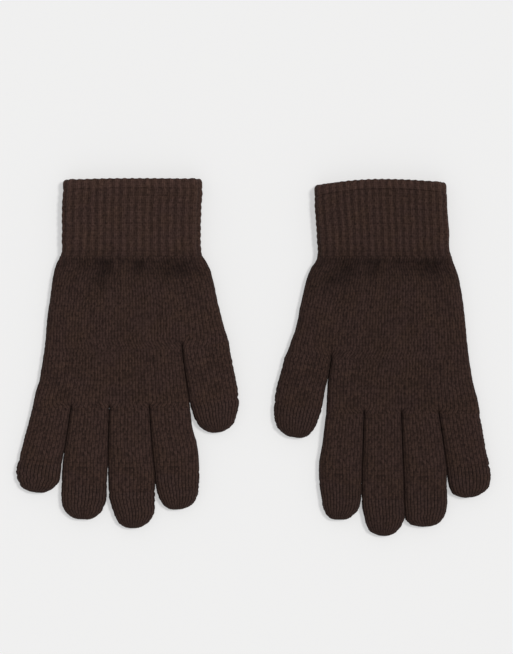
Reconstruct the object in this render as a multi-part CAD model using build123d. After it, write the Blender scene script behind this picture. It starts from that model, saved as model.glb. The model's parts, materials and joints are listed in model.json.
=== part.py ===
from build123d import *
import math
import os

# A pair of knitted touchscreen gloves, lying flat side by side with the palms up.
# Frame: +Z up, +X to the right hand glove, +Y towards the cuffs, fingers towards -Y.
# Origin: centre of the pair's footprint, on the surface that the gloves lie on.
# Each glove is knitted in tubes, in this order: four fingers, the hand above the
# thumb, the thumb, the hand below the thumb, the ribbed cuff and its hem. Every
# tube is a node here: a flattened hollow shell, open into the next one.
# All dimensions are in millimetres.

os.makedirs("parts", exist_ok=True)

# ---------------------------------------------------------------- driving dimensions
WALL = 1.7  # knitted wall of the hand and the fingers
TIP_WALL = 1.8  # conductive tips are plated with a second yarn
CUFF_WALL = 2.2  # ribbed wall
FINGER_H = 9.0  # height of a finger as it lies
SIDE_GAP = 0.4  # each side of a finger stays this far inside its outline
HINGE_GAP = 0.3  # each side of a fold line
BED = 0.15  # depth planed off every underside, for a true flat rest
HEM = 7.0  # length of the turned hem at the cuff opening
HEM_PROUD = 0.4  # hem stands this far out of the cuff
ELASTIC_W, ELASTIC_T = 0.8, 0.6  # laid-in elastic thread, along the arm and radial
GROOVE_W, GROOVE_T = 1.0, 0.7  # the channel it lies in
ELASTIC_PITCH = 4.6
ELASTIC_COUNT = 9
STUB = 6.0  # how far a finger is drawn past its base line, before it is cut to the fold
KNUCKLE_TO_JOINT = 25.0  # knuckle line to the middle joints' line, along Y
HAND_TOP_END = 9.4  # height of the hand at the knuckles

# Footprint centring, so that the origin is at the centre of the pair
OFF_X, OFF_Y = 0.018, -0.189

# A digit: centre of its base line (x, y), lean from -Y towards +X in degrees,
# length, length of the conductive tip, and stations (distance from the base,
# centre offset, half width). The four fingers of a glove fold on two common lines
# parallel to X, at the knuckles and at the middle joints, so that they keep their
# places side by side however far they curl. The thumb folds square to its own
# length, and joint is its distance from base to fold.
DIGITS = {
    "left": {
        "little": dict(base=(-133.0, -31.35), lean=-9.6, length=58.9, tip=20.0,
                       st=[(0, 0.15, 12.35), (15, -0.4, 13.1), (30, -1.0, 13.9), (44.6, -1.5, 14.3), (58.9, -2.1, 0)]),
        "ring": dict(base=(-108.0, -33.66), lean=-2.78, length=73.6, tip=24.0,
                     st=[(0, 0.0, 12.6), (15, -0.58, 13.5), (30, -1.13, 14.5), (44, -1.5, 14.9), (58.8, -1.2, 14.8), (73.6, -1.2, 0)]),
        "middle": dict(base=(-82.2, -33.66), lean=2.1, length=79.4, tip=24.0,
                       st=[(0, 0.0, 13.2), (16, -0.3, 13.9), (32, -0.47, 14.7), (47.6, -0.17, 15.3), (64.6, 0.0, 14.8), (79.4, 0.05, 0)]),
        "index": dict(base=(-55.6, -32.5), lean=4.68, length=68.3, tip=24.0,
                      st=[(0, -0.3, 13.05), (14, 0.1, 13.65), (27, 1.1, 14.85), (41, 1.4, 14.9), (53.9, 1.0, 14.4), (68.3, 0.6, 0)]),
        "thumb": dict(base=(-31.75, 7.8), lean=7.4, length=58.1, joint=25.0, tip=21.0,
                      st=[(0, -0.5, 15.1), (12, 0.1, 15.8), (23, 0.55, 16.2), (34, 0.9, 16.2), (43.0, 1.1, 15.1), (58.1, 0.5, 0)]),
    },
    "right": {
        "thumb": dict(base=(37.0, 1.2), lean=-8.1, length=55.0, joint=24.0, tip=21.0,
                      st=[(0, -0.4, 15.0), (11, -1.5, 15.6), (22, -2.5, 15.8), (32, -3.1, 15.6), (40.4, -3.2, 14.6), (55.0, -2.3, 0)]),
        "index": dict(base=(60.45, -35.8), lean=-2.8, length=71.6, tip=24.0,
                      st=[(0, -0.1, 12.4), (14, -0.2, 12.75), (28.6, -1.1, 13.8), (38, -1.25, 14.2), (50, -0.55, 13.7), (58.4, -0.2, 13.2), (71.6, -0.9, 0)]),
        "middle": dict(base=(85.1, -37.6), lean=0.77, length=80.5, tip=24.0,
                       st=[(0, 0.0, 12.4), (16, -0.15, 12.9), (32, -0.3, 13.45), (48, -0.5, 14.0), (66.7, -0.1, 13.8), (80.5, 0.0, 0)]),
        "ring": dict(base=(109.8, -37.3), lean=4.06, length=74.6, tip=24.0,
                     st=[(0, 0.0, 12.4), (15, 0.3, 13.2), (30, 0.6, 13.95), (40, 0.6, 14.3), (52, -0.05, 14.1), (60.8, -0.6, 13.8), (74.6, -1.0, 0)]),
        "little": dict(base=(135.0, -33.7), lean=5.91, length=59.3, tip=20.0,
                       st=[(0, 0.0, 12.9), (12, 0.9, 13.5), (24, 1.5, 13.7), (35.6, 2.3, 14.0), (45.2, 2.6, 14.1), (59.3, 1.6, 0)]),
    },
}

# The hand: outline stations (y, left edge x, right edge x).
# lower: below the thumb, knitted as one tube that takes in the thumb.
# upper: above the thumb, knitted as one tube that takes in the four fingers.
HAND = {
    "left": {
        "wrist_y": 66.0,
        "knuckle_y": -33.66,
        "lower": [(65.7, -128.3, -33.2), (60.0, -130.5, -30.2), (50.8, -132.6, -27.4), (37.6, -134.4, -24.6), (21.0, -136.7, -20.6), (5.3, -138.1, -16.0)],
        "upper": [(5.3, -138.1, -47.6), (-8.6, -140.2, -45.7), (-21.8, -143.2, -44.1), (-33.36, -146.1, -42.7)],
        "heights": (10.6, 10.0),
    },
    "right": {
        "wrist_y": 66.0,
        "knuckle_y": -37.5,
        "lower": [(65.7, 41.6, 130.0), (60.0, 38.5, 132.2), (50.8, 34.5, 135.0), (37.6, 31.7, 137.5), (18.0, 27.4, 139.6), (-1.65, 20.2, 141.7)],
        "upper": [(-1.65, 51.3, 141.7), (-12.0, 49.6, 143.4), (-24.0, 48.6, 146.3), (-37.2, 48.3, 149.1)],
        "heights": (10.6, 10.0),
    },
}

# The cuff: stations (y, centre x, half width, height), from the wrist to the hem.
CUFF = {
    "left": dict(st=[(66.3, -80.85, 46.0, 11.0), (90.0, -80.4, 46.1, 11.2), (118.1 - HEM, -79.9, 46.3, 11.6)], top=118.1),
    "right": dict(st=[(66.3, 86.0, 43.9, 11.0), (90.0, 84.9, 44.2, 12.0), (116.9 - HEM, 83.9, 44.3, 13.2)], top=116.9),
}


# ---------------------------------------------------------------- helpers
def section(x, y, z0, z1, half, lean):
    """A flattened oval across a tube that runs along the given lean."""
    a = math.radians(lean)
    d = (math.sin(a), -math.cos(a), 0)
    n = (math.cos(a), math.sin(a), 0)
    p = Plane(origin=(x + OFF_X, y + OFF_Y, (z0 + z1) / 2), x_dir=n, z_dir=d)
    return (p * SlotOverall(2 * half, z1 - z0)).faces()[0]


def planed(solid):
    """Planes the underside flat at z = 0."""
    below = Pos(OFF_X, OFF_Y, -5) * Box(600, 500, 10)
    return solid - below


def interp(rows, s):
    for a, b in zip(rows[:-1], rows[1:]):
        if s <= b[0]:
            t = (s - a[0]) / (b[0] - a[0])
            return [p + (q - p) * t for p, q in zip(a[1:], b[1:])]
    return list(rows[-1][1:])


def digit_at(d, s):
    """Centre offset, half width and height of a digit at distance s from its base."""
    st = d["st"]
    s_round = st[-2][0]
    if s <= s_round:
        c, w = interp(st[:-1], max(s, 0.0))
        return c, w - SIDE_GAP, FINGER_H
    u = (s - s_round) / (d["length"] - s_round)
    c = st[-2][1] + (st[-1][1] - st[-2][1]) * u
    w = (st[-2][2] - SIDE_GAP) * math.sqrt(max(0.0, 1 - u * u))
    h = FINGER_H * (1 - u**2.6) ** (1 / 2.6)
    return c, w, h


def digit_point(d, s, c=0.0):
    a = math.radians(d["lean"])
    bx, by = d["base"]
    return bx + math.sin(a) * s + math.cos(a) * c, by - math.cos(a) * s + math.sin(a) * c


def digit_section(d, s, grow=0.0):
    c, w, h = digit_at(d, s)
    x, y = digit_point(d, s, c)
    return section(x, y, -BED + grow, h - grow, w - grow, d["lean"])


def digit_tube(d):
    """A whole digit, a hollow shell that is closed at the tip and open at the base."""
    s_round = d["st"][-2][0]
    r = d["length"] - s_round
    split = d["length"] - d["tip"]
    straight = [-STUB] + [row[0] for row in d["st"][:-1]]
    outer = loft([digit_section(d, s) for s in straight + [s_round + r * u for u in (0.3, 0.55, 0.75, 0.89, 0.97)]], ruled=True)
    inner = loft([digit_section(d, s, WALL) for s in [-STUB - 1] + straight[1:]], ruled=True)
    inner = inner & zone(d, -STUB - 2, split)
    cap = [split - 0.01] + [s for s in straight if s > split + 2] + [s_round + r * u for u in (0.42, 0.66)]
    inner = inner + loft([digit_section(d, s, TIP_WALL) for s in cap], ruled=True)
    return planed(outer - inner)


def zone(d, s0, s1, half=40.0, shift=0.0):
    """The space between two cross sections of a digit."""
    x, y = digit_point(d, (s0 + s1) / 2, shift)
    a = math.radians(d["lean"])
    p = Plane(origin=(x + OFF_X, y + OFF_Y, 5), x_dir=(math.cos(a), math.sin(a), 0), z_dir=(0, 0, 1))
    return p * Box(2 * half, s1 - s0, 40)


def band(y0, y1):
    """The space between two lines parallel to X, y0 the nearer to the cuff."""
    return Pos(OFF_X, (y0 + y1) / 2 + OFF_Y, 5) * Box(600, y0 - y1, 40)


def flat_section(y, cx, half, z0, z1):
    return section(cx, y, z0, z1, half, 0.0)


def hand_tube(rows, h0, h1, wall):
    """A length of the hand through its outline stations, highest y first."""
    y0, y1 = rows[0][0], rows[-1][0]

    def at(row, grow, shift=0.0):
        y, xl, xr = row
        h = h0 + (h1 - h0) * (y0 - y) / (y0 - y1)
        return flat_section(y + shift, (xl + xr) / 2, (xr - xl) / 2 - grow, -BED + grow, h - grow)

    outer = loft([at(r, 0) for r in rows], ruled=True)
    inner = loft([at(rows[0], wall, 0.6)] + [at(r, wall) for r in rows[1:-1]] + [at(rows[-1], wall, -0.6)], ruled=True)
    return outer - inner


def save(shape, name):
    solids = shape.solids()
    body = solids[0] if len(solids) == 1 else Compound(children=list(solids))
    export_step(body, f"parts/{name}.step")
    b = shape.bounding_box()
    BOXES.append(b)
    print(name, len(solids), round(sum(s.volume for s in solids)), [round(v, 1) for v in (*b.min, *b.max)])


BOXES = []

for side in ("left", "right"):
    hand, digits, cuff = HAND[side], DIGITS[side], CUFF[side]

    # ---- hand, below and above the thumb
    h_wrist, h_palm = hand["heights"]
    lower = hand_tube(hand["lower"], h_wrist, h_palm, WALL)
    outward = 8.0 if side == "left" else -8.0
    lower -= zone(digits["thumb"], -HINGE_GAP, 60, 23.9, outward)
    save(planed(lower), f"{side}_hand_lower")
    save(planed(hand_tube(hand["upper"], h_palm, HAND_TOP_END, WALL)), f"{side}_hand_upper")

    # ---- fingers and thumb: root, shaft past the middle joint, conductive tip
    fold_y = hand["knuckle_y"] - KNUCKLE_TO_JOINT
    for name, d in digits.items():
        tube = digit_tube(d)
        split = d["length"] - d["tip"]
        if name == "thumb":
            root = tube & zone(d, HINGE_GAP, d["joint"] - HINGE_GAP)
            rest = tube & zone(d, d["joint"] + HINGE_GAP, d["length"] + 5)
        else:
            root = tube & band(hand["knuckle_y"] - HINGE_GAP, fold_y + HINGE_GAP)
            rest = tube & band(fold_y - HINGE_GAP, -200)
        save(root, f"{side}_{name}_root")
        save(rest & zone(d, 0, split), f"{side}_{name}_shaft")
        save(rest & zone(d, split, d["length"] + 5), f"{side}_{name}_touch_tip")

    # ---- cuff, its laid-in elastic threads and its hem
    st = cuff["st"]

    def cuff_section(row, grow, shift=0.0, proud=0.0):
        y, cx, half, h = row
        return flat_section(y + shift, cx, half - grow + proud, -BED + grow, h - grow + proud)

    outer = loft([cuff_section(r, 0) for r in st], ruled=True)
    inner = loft([cuff_section(st[0], CUFF_WALL, -0.6)] + [cuff_section(r, CUFF_WALL) for r in st[1:-1]] + [cuff_section(st[-1], CUFF_WALL, 0.6)], ruled=True)
    tube = outer - inner

    threads = []
    for i in range(ELASTIC_COUNT):
        y = st[0][0] + 3.0 + i * ELASTIC_PITCH
        cx, half, h = interp(st, y)

        def ring(width, deep_out, deep_in):
            big = Plane(origin=(cx + OFF_X, y + width / 2 + OFF_Y, (h - BED) / 2), x_dir=(1, 0, 0), z_dir=(0, -1, 0)) * SlotOverall(
                2 * (half - CUFF_WALL + deep_out), h + BED - 2 * (CUFF_WALL - deep_out))
            small = Plane(origin=(cx + OFF_X, y + width / 2 + OFF_Y, (h - BED) / 2), x_dir=(1, 0, 0), z_dir=(0, -1, 0)) * SlotOverall(
                2 * (half - CUFF_WALL - deep_in), h + BED - 2 * (CUFF_WALL + deep_in))
            return extrude(big.faces()[0], width, dir=(0, -1, 0)) - extrude(small.faces()[0], width, dir=(0, -1, 0))

        tube -= ring(GROOVE_W, GROOVE_T, 0.5)
        threads.append(ring(ELASTIC_W, GROOVE_T - 0.1, -(GROOVE_T - 0.1 - ELASTIC_T)))
    save(planed(tube), f"{side}_cuff")
    save(Compound(children=[t.solids()[0] for t in threads]), f"{side}_cuff_elastic")

    y_hem = st[-1][0]
    cx, half, h = st[-1][1:]
    rows = [(y_hem, cx, half, h), (cuff["top"], cx, half, h)]
    hem = loft([cuff_section(r, 0, 0, HEM_PROUD) for r in rows]) - loft([cuff_section(rows[0], CUFF_WALL, -0.6), cuff_section(rows[1], CUFF_WALL, 0.6)])
    save(planed(hem), f"{side}_cuff_hem")

lo = [min(tuple(b.min)[i] for b in BOXES) for i in range(3)]
hi = [max(tuple(b.max)[i] for b in BOXES) for i in range(3)]
print("pair", [round(v, 2) for v in lo], [round(v, 2) for v in hi], "centre", [round((p + q) / 2, 3) for p, q in zip(lo, hi)])
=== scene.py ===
import json
import math

import bpy
import numpy as np
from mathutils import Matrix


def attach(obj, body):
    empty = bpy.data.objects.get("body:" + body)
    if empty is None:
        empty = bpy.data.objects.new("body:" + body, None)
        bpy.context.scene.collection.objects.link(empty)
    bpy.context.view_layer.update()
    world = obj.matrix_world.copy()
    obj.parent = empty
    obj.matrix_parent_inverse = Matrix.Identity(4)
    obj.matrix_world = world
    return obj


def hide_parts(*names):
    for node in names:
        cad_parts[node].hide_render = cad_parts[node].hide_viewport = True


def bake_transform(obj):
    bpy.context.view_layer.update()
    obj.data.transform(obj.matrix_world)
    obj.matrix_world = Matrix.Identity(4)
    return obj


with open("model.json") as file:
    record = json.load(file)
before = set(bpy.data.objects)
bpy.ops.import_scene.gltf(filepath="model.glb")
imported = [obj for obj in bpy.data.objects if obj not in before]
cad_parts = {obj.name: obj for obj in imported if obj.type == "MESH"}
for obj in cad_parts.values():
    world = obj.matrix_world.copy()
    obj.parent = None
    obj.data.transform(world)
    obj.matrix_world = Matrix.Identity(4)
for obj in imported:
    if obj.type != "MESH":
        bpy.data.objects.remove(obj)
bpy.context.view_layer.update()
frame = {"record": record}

# The visible gloves are knitted here stitch by stitch as closed shells. All work is
# in millimetres in the CAD frame, and becomes metres when a mesh is made.
MM = 0.001
K = 5  # points across one wale
ROWS = 4  # rows of points along one course
WALL = 1.3
SLIT = 0.15  # half of the short side wall between the upper and lower layers
ROUND = 10.0  # how far a lying edge is rounded, inwards from the outline
TIGHT = 3.2  # the same where two fingers press together

PALM_WALES, THUMB_WALES = 46, 13
FINGER_WALES = {"little": 11, "ring": 11, "middle": 12, "index": 12}
DIGIT_WALES = {"little": 14, "ring": 15, "middle": 15, "index": 15, "thumb": 16}

SIDES = {
    "left": dict(
        fingers=["little", "ring", "middle", "index"],
        outer_left=[(67.63, -127.03), (64.99, -127.96), (62.35, -129.28), (59.71, -130.2), (55.75, -131.45), (51.79, -132.31), (47.83, -132.97), (43.87, -133.5), (37.27, -134.29), (30.67, -135.35), (24.07, -136.14), (17.47, -136.73), (10.87, -137.2), (4.27, -137.99), (-2.33, -138.91), (-8.93, -140.03), (-15.53, -141.16), (-22.13, -143.33), (-28.73, -144.85), (-34.01, -145.84)],
        outer_right=[(67.63, -34.17), (64.99, -33.18), (62.35, -31.6), (59.71, -29.88), (55.75, -28.16), (51.79, -27.24), (47.83, -26.18), (43.87, -25.39), (37.27, -24.07), (30.67, -22.49), (24.07, -20.77), (17.47, -18.92), (9.88, -16.42)],
        crease=[(4.93, -47.17), (-3.65, -46.12), (-12.23, -44.93), (-20.15, -43.81), (-28.07, -42.68), (-34.01, -41.96)],
        crotches=[-145.84, -120.56, -95.22, -68.82, -41.96],
        ribs=38,
        hem_top=117.9, hem=7.0,
        arch=(-1.3, -0.5),
        cuff_left=[(65.81, -127.3), (72, -126.9), (85, -126.9), (97, -126.8), (108, -126.3), (114, -126.0), (117.9, -126.0)],
        cuff_right=[(65.81, -33.9), (72, -34.4), (85, -34.5), (97, -34.0), (108, -33.4), (114, -33.3), (117.9, -33.4)],
        cuff_height=(10.3, 11.0),
        courses=(37, 24),
        dimples=[(-98.0, 59.0, 4.4, 4.2, 2.9), (-101.5, 50.5, 3.6, 6.0, 2.3), (-76.0, 59.2, 4.2, 4.0, 2.6), (-49.5, 57.6, 10.0, 3.6, 2.9), (-60.5, 53.0, 3.0, 4.5, 1.3), (-113.0, 59.5, 3.0, 3.5, 1.2)],
    ),
    "right": dict(
        fingers=["index", "middle", "ring", "little"],
        outer_left=[(67.63, 42.79), (64.99, 42.06), (62.35, 40.74), (59.71, 39.02), (55.75, 36.98), (51.79, 35.53), (47.83, 34.4), (43.87, 33.48), (37.27, 32.03), (30.67, 30.58), (24.07, 29.39), (17.47, 27.67), (10.87, 25.3), (3.61, 22.79)],
        outer_right=[(67.63, 130.24), (64.99, 130.63), (62.35, 131.56), (59.71, 132.88), (55.75, 134.33), (51.79, 135.45), (47.83, 136.24), (43.87, 136.97), (37.27, 138.02), (30.67, 138.88), (24.07, 139.54), (17.47, 140.2), (10.87, 140.8), (4.27, 141.52), (-2.33, 142.38), (-8.93, 143.5), (-15.53, 144.49), (-22.13, 146.14), (-28.73, 147.92), (-37.64, 149.51)],
        crease=[(-2.0, 51.17), (-8.93, 50.11), (-15.53, 49.19), (-22.13, 48.86), (-28.73, 48.53), (-37.64, 48.07)],
        crotches=[48.07, 72.82, 97.57, 122.25, 149.51],
        ribs=41,
        hem_top=117.3, hem=7.0,
        arch=(-5.2, -2.9),
        cuff_left=[(65.81, 42.3), (72, 42.0), (85, 41.2), (97, 40.4), (108, 40.0), (114, 39.9), (117.9, 39.9)],
        cuff_right=[(65.81, 130.5), (72, 130.1), (85, 129.9), (97, 129.0), (108, 128.4), (114, 128.3), (117.9, 128.3)],
        cuff_height=(10.5, 12.6),
        courses=(38, 22),
        dimples=[(52.0, 50.0, 7.0, 4.6, 2.6), (61.5, 57.2, 5.4, 4.2, 2.8), (78.5, 58.8, 4.2, 4.8, 2.7), (115.5, 59.2, 9.0, 3.8, 2.9), (97.0, 60.0, 2.6, 3.4, 1.0)],
    ),
}

# A digit: base centre, lean in degrees from -Y towards +X, length, length of the
# touch tip, and the outline as (distance from base, left edge, right edge).
DIGITS = {
    "left": {
        "little": dict(base=(-132.84, -31.7), lean=-9.6, length=58.9, tip=20.0, rows=[(11.8, -13.1, 12.7), (23.5, -14.4, 12.9), (35.3, -15.3, 12.5), (47, -16.2, 12.9), (49.4, -15.5, 12.6), (51.7, -14.8, 11.4), (54.1, -13.1, 9.7), (55.8, -12.0, 8.0), (57.3, -10.4, 5.6), (58.2, -8.3, 4.0)]),
        "ring": dict(base=(-107.9, -34.01), lean=-2.78, length=73.6, tip=24.0, rows=[(7.4, -13.3, 12.8), (14.7, -14.1, 12.9), (29.4, -15.6, 13.3), (44.1, -16.4, 13.4), (58.8, -15.9, 13.5), (61.8, -15.6, 13.0), (64.7, -15.1, 11.9), (67.7, -13.7, 10.8), (69.9, -11.8, 8.8), (71.7, -9.6, 6.7), (72.8, -7.1, 4.4)]),
        "middle": dict(base=(-82.02, -34.01), lean=2.1, length=79.4, tip=24.0, rows=[(15.9, -14.3, 13.7), (31.7, -15.2, 14.3), (47.6, -15.6, 15.3), (55.5, -15.5, 14.8), (63.4, -14.2, 14.2), (66.6, -13.2, 14.2), (69.7, -12.2, 13.7), (72.9, -11.0, 12.1), (75.3, -9.6, 10.3), (77.3, -7.4, 7.6), (78.5, -4.9, 5.1)]),
        "index": dict(base=(-55.49, -32.82), lean=4.68, length=68.3, tip=24.0, rows=[(13.7, -13.6, 13.7), (27.3, -13.8, 16.0), (34.2, -13.6, 16.4), (47.8, -13.4, 15.8), (54.6, -12.7, 14.7), (57.4, -12.2, 14.4), (60.1, -11.5, 13.3), (62.8, -10.2, 12.0), (64.9, -8.8, 10.4), (66.6, -6.8, 8.1), (67.6, -4.9, 5.2)]),
        "thumb": dict(base=(-31.6, 7.43), lean=7.4, length=58.1, tip=21.0, rows=[(5.8, -15.8, 15.4), (17.4, -15.8, 16.3), (29.1, -15.7, 17.2), (34.9, -15.6, 17.3), (40.7, -14.5, 16.9), (46.5, -13.3, 15.1), (48.8, -12.6, 14.0), (51.2, -11.5, 13.1), (53.5, -9.7, 11.6), (55.2, -7.8, 9.6), (56.7, -5.5, 6.9), (57.6, -3.2, 4.6)]),
    },
    "right": {
        "thumb": dict(base=(37.18, 0.83), lean=-8.1, length=55.0, tip=21.0, rows=[(5.5, -16.4, 14.2), (11, -17.0, 14.1), (22, -18.4, 13.0), (33, -19.0, 12.8), (38.5, -18.5, 11.9), (44, -17.2, 10.8), (48.4, -15.4, 9.1), (50.6, -13.7, 7.7), (52.3, -11.7, 6.4), (53.7, -9.3, 4.4), (54.5, -7.1, 2.6)]),
        "index": dict(base=(60.61, -36.13), lean=-2.8, length=71.6, tip=24.0, rows=[(7.2, -12.8, 12.4), (21.5, -13.8, 12.7), (35.8, -15.5, 12.9), (43, -15.2, 13.1), (50.1, -14.3, 13.2), (57.3, -12.7, 13.0), (63, -11.6, 12.1), (65.9, -10.5, 10.5), (68, -9.4, 8.6), (69.8, -8.0, 6.4), (70.9, -6.3, 4.6)]),
        "middle": dict(base=(85.22, -37.97), lean=0.77, length=80.5, tip=24.0, rows=[(8.1, -12.7, 12.5), (24.2, -13.4, 12.9), (40.3, -14.2, 13.3), (56.4, -14.4, 13.6), (64.4, -13.6, 13.8), (67.6, -12.7, 13.6), (70.9, -12.0, 12.6), (74.1, -11.0, 11.2), (76.5, -9.6, 9.4), (78.5, -7.2, 6.9), (79.7, -4.2, 4.2)]),
        "ring": dict(base=(109.91, -37.64), lean=4.06, length=74.6, tip=24.0, rows=[(14.9, -12.9, 13.5), (29.9, -13.4, 14.6), (37.3, -13.6, 15.0), (44.8, -13.9, 14.5), (59.7, -14.5, 13.7), (65.7, -14.5, 12.4), (68.7, -14.2, 11.0), (70.9, -12.9, 9.4), (72.8, -10.5, 7.2), (73.9, -7.0, 5.0)]),
        "little": dict(base=(135.12, -34.01), lean=5.91, length=59.3, tip=20.0, rows=[(5.9, -12.9, 13.6), (17.8, -12.4, 14.7), (29.6, -12.0, 15.4), (41.5, -11.6, 16.8), (47.4, -11.5, 16.7), (52.1, -10.8, 15.4), (54.5, -9.9, 14.1), (56.3, -8.5, 12.0), (57.8, -6.0, 9.4), (58.7, -3.8, 7.1)]),
    },
}

JOINTS = {j["name"]: j for j in frame["record"]["behaviour"]["joints"]}


# ------------------------------------------------------------------ small helpers
def pchip(xs, ys, x):
    """Smooth curve through points, with no overshoot."""
    xs, ys = np.asarray(xs, float), np.asarray(ys, float)
    if xs[0] > xs[-1]:
        xs, ys = xs[::-1], ys[::-1]
    h = np.diff(xs)
    d = np.diff(ys) / h
    m = np.zeros(len(xs))
    same = d[:-1] * d[1:] > 0
    m[1:-1] = np.where(same, 2 * d[:-1] * d[1:] / np.where(same, d[:-1] + d[1:], 1), 0)
    m[0], m[-1] = d[0], d[-1]
    x = np.clip(x, xs[0], xs[-1])
    i = np.clip(np.searchsorted(xs, x) - 1, 0, len(h) - 1)
    t = (x - xs[i]) / h[i]
    return ys[i] * (1 + 2 * t) * (1 - t) ** 2 + m[i] * h[i] * t * (1 - t) ** 2 + ys[i + 1] * t * t * (3 - 2 * t) + m[i + 1] * h[i] * t * t * (t - 1)


def smooth(x):
    x = np.clip(x, 0, 1)
    return x * x * (3 - 2 * x)


def even(points, count):
    """count points at even distances along a polyline."""
    points = np.asarray(points, float)
    s = np.r_[0, np.cumsum(np.linalg.norm(np.diff(points, axis=0), axis=1))]
    t = np.linspace(0, s[-1], count)
    return np.stack([np.interp(t, s, points[:, k]) for k in range(points.shape[1])], 1)


def soften(points, passes):
    """Rounds a dense polyline's kinks and keeps its ends."""
    p = np.array(points, float)
    for _ in range(passes):
        p[1:-1] = 0.25 * p[:-2] + 0.5 * p[1:-1] + 0.25 * p[2:]
    return p


def ripple(x, y, seed, size, count=7):
    """Gentle uneven waves, the same on every run, between about -1 and 1."""
    r = np.random.default_rng(seed)
    z = 0
    for _ in range(count):
        a = r.uniform(0, 2 * math.pi)
        w = 2 * math.pi / (size * r.uniform(0.7, 1.6))
        z = z + np.sin((x * math.cos(a) + y * math.sin(a)) * w + r.uniform(0, 2 * math.pi))
    return z / math.sqrt(count * 2)


# ------------------------------------------------------------------ how the cloth lies
MID = 3.3  # height of the fold line at the glove's edges


def crown(x, y, side):
    """Height of the upper layer, away from its edges."""
    S = SIDES[side]
    hand = 9.5 - 0.8 * smooth((12 - y) / 42)
    low, high = S["cuff_height"]
    t = np.clip((y - 65.8) / 50, 0, 1)
    cuff = low + (high - low) * t
    z = np.where(y > 65.8, cuff, hand)
    # the rib draws the cloth in: the hand swells below it
    below = np.clip((65.8 - y) / 17.0, 0, 1)
    z = np.where(y <= 65.8, low + (8.0 - low) * smooth(below * 3.4) + (hand - 8.0) * smooth((below - 0.22) / 0.78), z)
    for dx, dy, sx, sy, depth in S["dimples"]:
        r = ((x - dx) / sx) ** 2 + ((y - dy) / sy) ** 2
        z = z - 0.8 * depth * np.exp(-r) * smooth((65.8 - y) / 5.0)
    seed = 11 if side == "left" else 23
    calm = smooth((65.8 - y) / 12.0)
    z = z + 0.42 * ripple(x, y, seed, 26.0) * calm + 0.16 * ripple(x, y, seed + 1, 9.0) * calm
    z = z + 0.18 * ripple(x, y, seed + 2, 20.0) * smooth((y - 65.8) / 12.0)
    return z


def painted_gather_shade(x, y, side):
    """Painted shade below the rib, from 0 to 1: more in the dimples, less along a band under the rib."""
    g = 0
    for dx, dy, sx, sy, depth in SIDES[side]["dimples"]:
        g = g + depth / 2.9 * np.exp(-(((x - dx) / (sx * 1.35)) ** 2) - ((y - dy) / (sy * 1.35)) ** 2)
    band = smooth((y - 38) / 18.0) * smooth((67.5 - y) / 8.0)
    return np.clip(0.2 * band + 0.72 * g * smooth((67.5 - y) / 6.0), 0, 1)


def mid_height(y):
    return MID + 0.9 * smooth((y - 63.0) / 20.0)


def edge_round(d, reach, power):
    t = np.clip(1 - d / reach, 0, 1)
    return (1 - t**power) ** (1 / power)


def lobe(A, B, wales, k, side, w0, w1, close=None, thin=0.0, out0=True, out1=True, r0=None, r1=None):
    """One flattened tube's upper and lower layer, from edge A to edge B, for every row.
    w0 and w1 say how far each end is closed down to the fold line."""
    A, B = np.array(A, float), np.array(B, float)
    rows = len(A)
    w0, w1 = np.broadcast_to(w0, rows)[:, None], np.broadcast_to(w1, rows)[:, None]
    close = np.ones(rows) if close is None else close
    span = B - A
    length = np.linalg.norm(span, axis=1)
    if thin:
        unit = span / length[:, None]
        inset = np.minimum(thin, length * 0.3)[:, None]
        A = A + unit * inset * (1.0 if out0 else 0.0)
        B = B - unit * inset * (1.0 if out1 else 0.0)
        span = B - A
        length = np.linalg.norm(span, axis=1)
    reach = [np.minimum(np.broadcast_to(ROUND if r is None else r, rows), length / 2)[:, None] for r in (r0, r1)]
    n = wales * k + 1
    slit = 0.05 if thin else SLIT
    fc = close[:, None]

    def heights(lam):
        xy = A[:, None, :] + span[:, None, :] * lam[..., None]
        d0, d1 = lam * length[:, None], (1 - lam) * length[:, None]
        mid = mid_height(xy[..., 1])
        g = (1 - w0 * (1 - edge_round(d0, reach[0], 2.3))) * (1 - w1 * (1 - edge_round(d1, reach[1], 2.3)))
        gb = (1 - w0 * (1 - edge_round(d0, np.minimum(reach[0], 5.0), 2.3))) * (1 - w1 * (1 - edge_round(d1, np.minimum(reach[1], 5.0), 2.3)))
        top = mid + slit + (np.maximum(crown(xy[..., 0], xy[..., 1], side) - thin - mid, 1.2) - slit) * g * fc
        low = mid - slit - (mid - slit - 0.12 - thin) * gb * fc**0.6
        return xy, top, low

    dense = 0.5 - 0.5 * np.cos(np.linspace(0, math.pi, max(160, 2 * n)))
    dense = np.broadcast_to(dense, (rows, dense.size))
    xy, top, low = heights(dense)
    out = []
    for z, pick in ((top, 1), (low, 2)):
        step = np.hypot(np.diff(dense, axis=1) * length[:, None], np.diff(z, axis=1))
        arc = np.c_[np.zeros(rows), np.cumsum(step, axis=1)]
        lam = np.stack([np.interp(np.linspace(0, arc[i, -1], n), arc[i], dense[i]) for i in range(rows)])
        lam[:, 0], lam[:, -1] = 0, 1
        h = heights(lam)
        out.append(np.dstack([h[0], h[pick]]))
    return out


def ring_of(lobes):
    """Joins lobes side by side into one closed ring in each row: upper layer from left
    to right, then lower layer from right to left."""
    top = np.concatenate([t[:, :-1] for t, _ in lobes[:-1]] + [lobes[-1][0]], axis=1)
    low = np.concatenate([b[:, :-1] for _, b in lobes[:-1]] + [lobes[-1][1]], axis=1)
    return np.concatenate([top, low[:, ::-1]], axis=1)


def normals(P):
    across = np.roll(P, -1, axis=1) - np.roll(P, 1, axis=1)
    along = np.gradient(P, axis=0)
    n = np.cross(along, across)
    return n / np.maximum(np.linalg.norm(n, axis=2, keepdims=True), 1e-9)


def wale_index(wales, k):
    u = np.arange(wales * k + 1) / k
    return np.r_[u, wales + u]


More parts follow.
